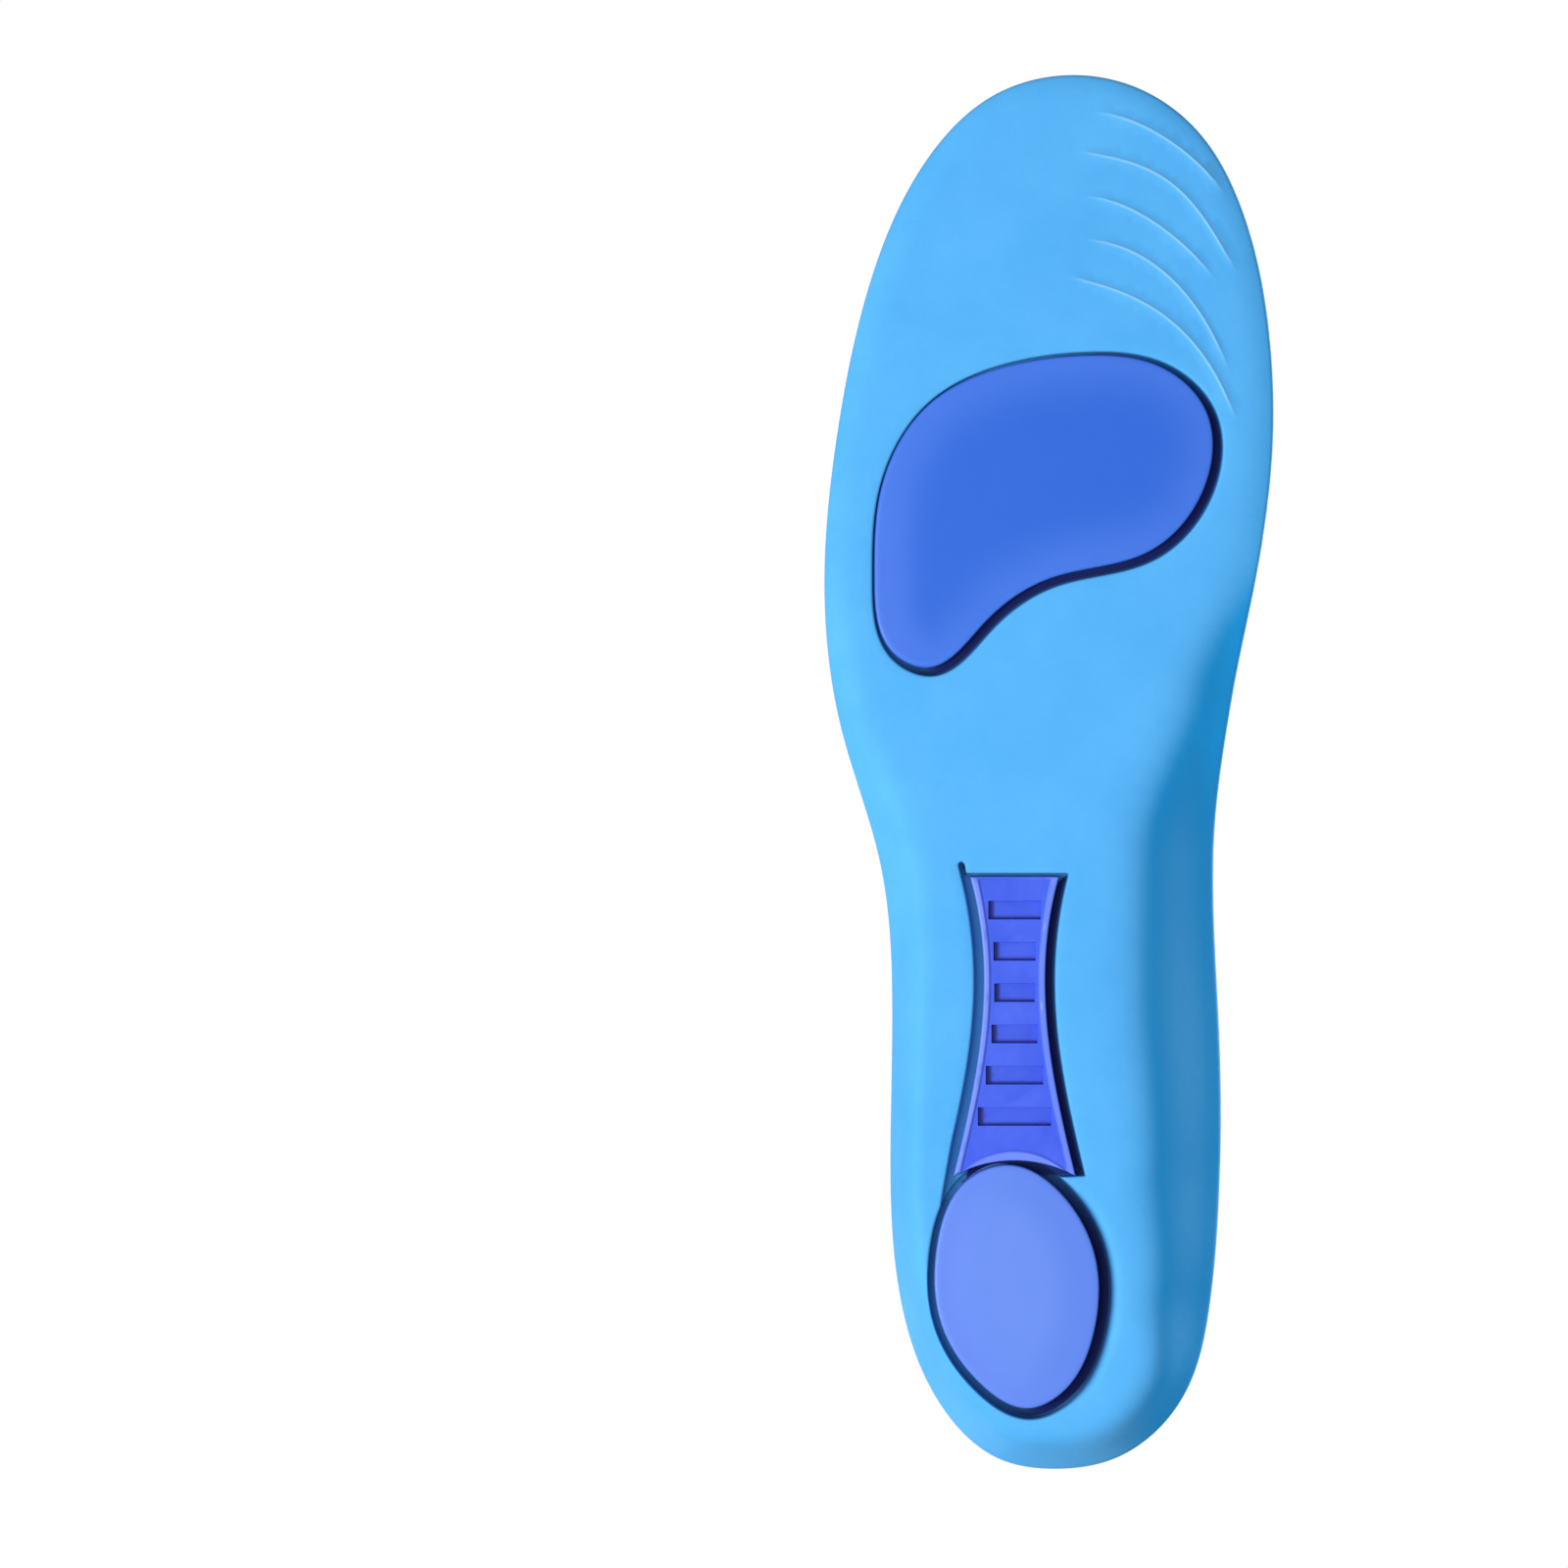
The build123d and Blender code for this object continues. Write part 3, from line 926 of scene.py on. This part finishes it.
def shade(points):
    """How bright the yarn is: dim on the outer half of the forefoot and in a short valley inside the ribs.

    This is shading seen in the photo.
    """
    x, y = points.T
    outer = smooth((x - 3 - 0.17 * np.abs(y - 35)) / 11) * smooth((y + 50) / 40)
    inner = inner_depth(points)
    across = smooth((inner - 13) / 4) * smooth((24 - inner) / 5)
    valley = across * smooth((y + 8) / 12) * smooth((58 - y) / 14)
    return 1 - 0.7 * outer - 0.45 * valley


def cover_top(points):
    """The knitted ground: low swells under the tufts, and full round ribs at the inner rim."""
    wave = np.abs(np.cos(np.pi * row_phase(points)))
    rib = rib_share(points)
    depth = -signed_distance(points, COVER_EDGE)
    swell = TUFT_SWELL * tuft_share(points) * (1 - rib) + RIB_HEIGHT * np.sqrt(wave) * rib
    return cover_base(points) + GROUND + swell - rounded(depth, 0.6) * 0.7


def cover_tint(points):
    """1 on the crown of a rib, less on a tuft's foot, dimmed there by the painted shade of shade(), and 0 on
    the dark ground and in the creases.
    """
    flat_points = points[:, :2]
    wave = np.abs(np.cos(np.pi * row_phase(flat_points)))
    share = rib_share(flat_points)
    fade = 1 - 0.45 * smooth(inner_depth(flat_points) / 11) + 0.12 * np.sin(flat_points[:, 1] * 1.7)
    rib = share * smooth((wave - 0.25) / 0.4) * fade
    return np.clip(np.maximum(rib, 0.7 * (1 - share) * tuft_share(flat_points) * shade(flat_points)), 0, 1)


def film_piece():
    film = slab("cover_film_sheet", grown(COVER_EDGE, -0.1), foam_top, cover_base, FILM_MATERIAL,
                step=(3.0, 3.0), clear=1.0, top=((), 3.0, 3.0, 1.0))
    stand_in(film, "cover_adhesive_film")


def ground_piece():
    rings = [grown(COVER_EDGE, -inset) for inset in (0.15, 0.35, 0.6)]
    ground = slab("top_cover_ground", COVER_EDGE, cover_base, cover_top, KNIT, step=(4.0, 4.0), clear=1.5,
                  top=(rings, 1.1, 0.42, 0.35), sharp=70, tint=cover_tint)
    stand_in(ground, "top_cover")
    return ground


film_piece()
cover_ground = ground_piece()


LOOPS_PER_TUFT = 5
TUFT_SPREAD = (0.78, 0.3)  # spread of a tuft's loops across and along the insole
LOOP_RINGS, LOOP_SIDES = 6, 4
YARN_RADIUS = 0.38
LOOP_SINK = 0.25  # depth of the loops' feet in the ground
SLOPE_STEP = 0.5  # distance to either side over which the foam's slope is measured


def ground_normals(at):
    """Unit normals of the foam's upper face."""
    right, ahead = np.array([SLOPE_STEP, 0]), np.array([0, SLOPE_STEP])
    slope_x = (foam_top(at + right) - foam_top(at - right)) / (2 * SLOPE_STEP)
    slope_y = (foam_top(at + ahead) - foam_top(at - ahead)) / (2 * SLOPE_STEP)
    return unit(np.c_[-slope_x, -slope_y, np.ones(len(at))])


def loop_faces(count):
    """Faces along each loop's yarn, and at its two ends."""
    points_per_loop = LOOP_RINGS * LOOP_SIDES
    faces = []
    for start in range(0, count * points_per_loop, points_per_loop):
        for ring in range(start, start + points_per_loop - LOOP_SIDES, LOOP_SIDES):
            for j in range(LOOP_SIDES):
                a, b = ring + j, ring + (j + 1) % LOOP_SIDES
                faces.append((a, b, b + LOOP_SIDES, a + LOOP_SIDES))
        faces.append(tuple(start + j for j in reversed(range(LOOP_SIDES))))
        faces.append(tuple(start + points_per_loop - LOOP_SIDES + j for j in range(LOOP_SIDES)))
    return faces


def tuft_piece(name, centres):
    """Tufts of arched yarn loops standing on the ground."""
    spread = rng.normal(0, 1, (len(centres) * LOOPS_PER_TUFT, 2)) * TUFT_SPREAD
    at = np.repeat(centres, LOOPS_PER_TUFT, 0) + spread
    at = at[signed_distance(at, COVER_EDGE) < -0.8]
    n = len(at)
    # painted shade from shade(), with one loop in ten given a painted highlight
    bright = shade(at) * rng.uniform(0.72, 1.15, n) + 0.4 * (rng.uniform(size=n) < 0.1)
    up = ground_normals(at)
    turn = rng.normal(math.pi / 2, 0.5, n)
    along = np.c_[np.cos(turn), np.sin(turn), np.zeros(n)]
    along = unit(along - up * (along * up).sum(1)[:, None])
    side = np.cross(up, along)
    half = rng.uniform(0.5, 0.9, n)
    rise = rng.uniform(0.95, 1.5, n)
    lean = rng.normal(0, 0.25, n)
    base = np.c_[at, cover_base(at) + GROUND]
    points, tints = [], []
    for k in range(LOOP_RINGS):
        angle = math.pi * (k / (LOOP_RINGS - 1))
        out, high = -math.cos(angle), math.sin(angle)
        centre = base + along * (half * out)[:, None] + up * (rise * high - LOOP_SINK)[:, None]
        centre += side * (lean * high)[:, None]
        outward = along * out + up * high
        thick = YARN_RADIUS * (0.8 + 0.35 * high)
        for j in range(LOOP_SIDES):
            around = 2 * math.pi * j / LOOP_SIDES
            points.append(centre + thick * (outward * math.cos(around) + side * math.sin(around)))
            # painted shade at the loops' feet, growing brighter towards their tops
            tints.append(np.clip(bright * (0.35 + 0.7 * high), 0, 1))
    points = np.stack(points, 1).reshape(-1, 3)
    tufts = new_object(name, points, loop_faces(n), YARN, {"tint": np.stack(tints, 1).reshape(-1)})
    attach(tufts, "root")
    return tufts


BANDS = (-200, -70, 0, 65, 200)
for number, (low_y, high_y) in enumerate(zip(BANDS, BANDS[1:]), 1):
    band = PLACES[(PLACES[:, 1] >= low_y) & (PLACES[:, 1] < high_y)]
    tuft_piece(f"cover_loops_{number}", band)

for node in ("forefoot_pad_adhesive", "heel_pad_adhesive", "shank_adhesive"):
    bpy.data.objects[node].data.materials.clear()
    bpy.data.objects[node].data.materials.append(ADHESIVE_MATERIAL)


# ---- floor, world, lights and camera -------------------------------------------
def floor_material():
    """Pale from above and clear from below, so that the underside can be seen through it. It glows more
    towards its far edges, painted light that fades it to white.
    """
    m = Nodes("floor", Roughness=0.9, Emission_Color=(1, 1, 1, 1))
    m.colour(m.ramp(m.noise(3, 2), [(0.0, (0.86, 0.87, 0.88, 1)), (1.0, (0.9, 0.9, 0.9, 1))]))
    far = m.add("ShaderNodeVectorMath", operation="LENGTH")
    m.join(m.place, far.inputs[0])
    # painted light: white emission that grows with distance from the middle
    painted_glow = m.math("MULTIPLY", m.fraction(far.outputs["Value"], 0.25, 1.6), 0.85)
    m.join(painted_glow, m.shader.inputs["Emission Strength"])
    back = m.add("ShaderNodeNewGeometry").outputs["Backfacing"]
    clear = m.add("ShaderNodeBsdfTransparent")
    blend = m.add("ShaderNodeMixShader")
    m.join(back, blend.inputs[0])
    m.join(m.shader.outputs[0], blend.inputs[1])
    m.join(clear.outputs[0], blend.inputs[2])
    m.join(blend.outputs[0], m.tree.nodes["Material Output"].inputs["Surface"])
    return m.material


FLOOR_Z = -0.4 * MM
FLOOR_SIZE = 6.0


def floor_piece():
    half, z = FLOOR_SIZE / 2 / MM, FLOOR_Z / MM
    corners = [(-half, -half, z), (half, -half, z), (half, half, z), (-half, half, z)]
    floor = new_object("floor", corners, [(0, 1, 2, 3)], floor_material())
    for ray in ("diffuse", "glossy", "transmission", "shadow"):
        setattr(floor, f"visible_{ray}", False)


def world():
    """White behind the insole, and soft even light."""
    sky = bpy.data.worlds.new("studio")
    sky.use_nodes = True
    tree = sky.node_tree
    light = tree.nodes["Background"]
    light.inputs["Color"].default_value = (0.93, 0.96, 1.0, 1)
    light.inputs["Strength"].default_value = 0.45
    white = tree.nodes.new("ShaderNodeBackground")
    white.inputs["Color"].default_value = (1, 1, 1, 1)
    white.inputs["Strength"].default_value = 1.0
    path = tree.nodes.new("ShaderNodeLightPath")
    blend = tree.nodes.new("ShaderNodeMixShader")
    tree.links.new(path.outputs["Is Camera Ray"], blend.inputs[0])
    tree.links.new(light.outputs[0], blend.inputs[1])
    tree.links.new(white.outputs[0], blend.inputs[2])
    tree.links.new(blend.outputs[0], tree.nodes["World Output"].inputs["Surface"])
    bpy.context.scene.world = sky


def area_light(name, place, size, power, colour=(1, 1, 1)):
    """A soft square lamp at place, aimed at the middle of the insole."""
    lamp = bpy.data.lights.new(name, "AREA")
    lamp.shape = "SQUARE"
    lamp.size = size
    lamp.energy = power
    lamp.color = colour
    obj = bpy.data.objects.new(name, lamp)
    obj.location = place
    obj.rotation_euler = (Vector((0, 0, 0.01)) - Vector(place)).to_track_quat("-Z", "Y").to_euler()
    obj.visible_camera = False
    bpy.context.scene.collection.objects.link(obj)


SENSOR = 36
CAMERA_DISTANCE = 1.4
VIEW_LENGTHS = 1.12  # the picture's width in insole lengths
SIDE_WIDTHS = 0.59  # how far the camera stands to the side, in insole widths
CAMERA_DROP = 0.0018  # how far it stands towards the heel from the insole's middle


def camera():
    """Straight up at the underside, with the insole right of the middle."""
    low, high = (np.array(corner) for corner in CAD_BOX)
    view_width = VIEW_LENGTHS * (high - low)[1]
    data = bpy.data.cameras.new("camera")
    data.sensor_width = SENSOR
    data.lens = SENSOR * CAMERA_DISTANCE / view_width
    data.clip_start, data.clip_end = 0.01, 20
    obj = bpy.data.objects.new("camera", data)
    bpy.context.scene.collection.objects.link(obj)
    obj.location = (SIDE_WIDTHS * (high - low)[0], (low + high)[1] / 2 - CAMERA_DROP, -CAMERA_DISTANCE)
    obj.rotation_euler = (math.pi, 0, math.pi)
    bpy.context.scene.camera = obj


floor_piece()
world()
area_light("under_key", (0.8, -0.2, -0.8), 0.25, 8.5)
area_light("under_fill", (0.5, -0.2, -1.2), 0.7, 7.5, (0.96, 0.98, 1.0))
area_light("top_key", (-0.7, 0.15, 0.75), 0.4, 12.0)
area_light("top_fill", (0.6, -0.7, 0.9), 1.0, 4.0, (0.95, 0.97, 1.0))
camera()
bpy.context.scene.view_settings.view_transform = "Standard"
